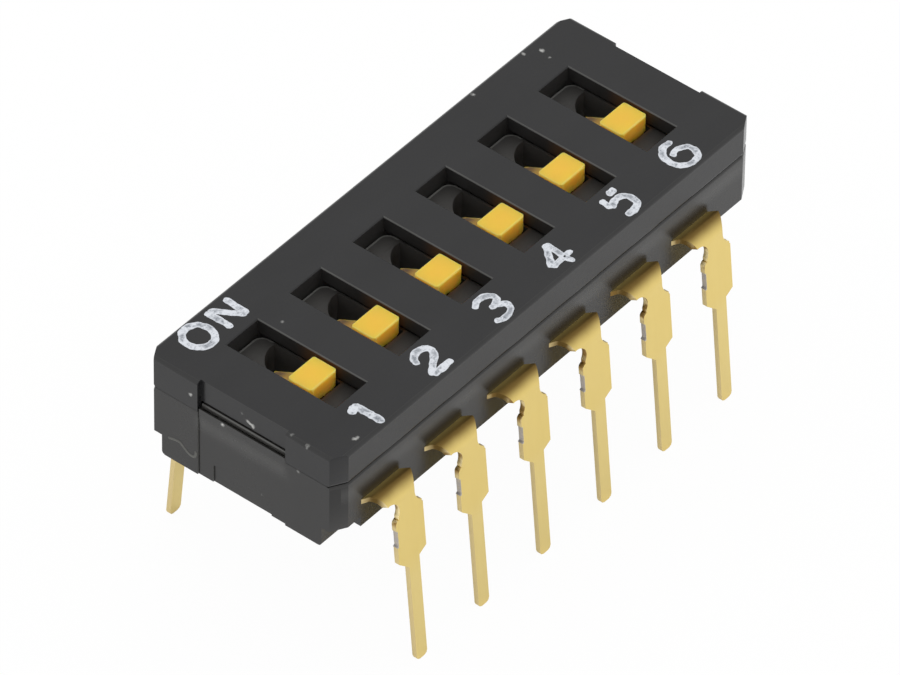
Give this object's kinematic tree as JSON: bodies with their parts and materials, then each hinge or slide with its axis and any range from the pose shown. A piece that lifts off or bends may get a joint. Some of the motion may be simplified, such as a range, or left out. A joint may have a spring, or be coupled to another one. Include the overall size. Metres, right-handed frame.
{
  "type": "dip switch",
  "caption": "Slide DIP switch: flat rectangular housing, recessed sliding actuators in slots, and two rows of formed through-hole legs.",
  "frame": {"origin": "centre of the underside of the base, midway between the two rows of legs", "axes": "+X along the row of positions, from position 1 to position 6; +Y from the numbered side to the ON side; +Z out of the cover's top face"},
  "size_m": [0.0172, 0.0086, 0.0079],
  "materials": {
    "base_plastic": "black thermoplastic, satin as moulded",
    "cover_plastic": "black thermoplastic, satin with a fine moulding texture",
    "actuator_plastic": "semi-gloss moulding",
    "contact_metal": "gold-plated spring leaf",
    "terminal_plating": "gold-plated stamped strip"
  },
  "bodies": {
    "housing": {"base": "base_plastic", "cover": "cover_plastic", "terminal_1": "terminal_plating", "terminal_2": "terminal_plating", "terminal_3": "terminal_plating", "terminal_4": "terminal_plating", "terminal_5": "terminal_plating", "terminal_6": "terminal_plating", "terminal_7": "terminal_plating", "terminal_8": "terminal_plating", "terminal_9": "terminal_plating", "terminal_10": "terminal_plating", "terminal_11": "terminal_plating", "terminal_12": "terminal_plating"},
    "actuator_1": {"slider_1": "actuator_plastic", "contact_1": "contact_metal"},
    "actuator_2": {"slider_2": "actuator_plastic", "contact_2": "contact_metal"},
    "actuator_3": {"slider_3": "actuator_plastic", "contact_3": "contact_metal"},
    "actuator_4": {"slider_4": "actuator_plastic", "contact_4": "contact_metal"},
    "actuator_5": {"slider_5": "actuator_plastic", "contact_5": "contact_metal"},
    "actuator_6": {"slider_6": "actuator_plastic", "contact_6": "contact_metal"}
  },
  "joints": [
    {"name": "slide_1", "type": "slide", "parent": "housing", "child": "actuator_1", "axis": [0, 1, 0], "range_m": [0, 0.00105]},
    {"name": "slide_2", "type": "slide", "parent": "housing", "child": "actuator_2", "axis": [0, 1, 0], "range_m": [0, 0.00105]},
    {"name": "slide_3", "type": "slide", "parent": "housing", "child": "actuator_3", "axis": [0, 1, 0], "range_m": [0, 0.00105]},
    {"name": "slide_4", "type": "slide", "parent": "housing", "child": "actuator_4", "axis": [0, 1, 0], "range_m": [0, 0.00105]},
    {"name": "slide_5", "type": "slide", "parent": "housing", "child": "actuator_5", "axis": [0, 1, 0], "range_m": [0, 0.00105]},
    {"name": "slide_6", "type": "slide", "parent": "housing", "child": "actuator_6", "axis": [0, 1, 0], "range_m": [0, 0.00105]}
  ]
}
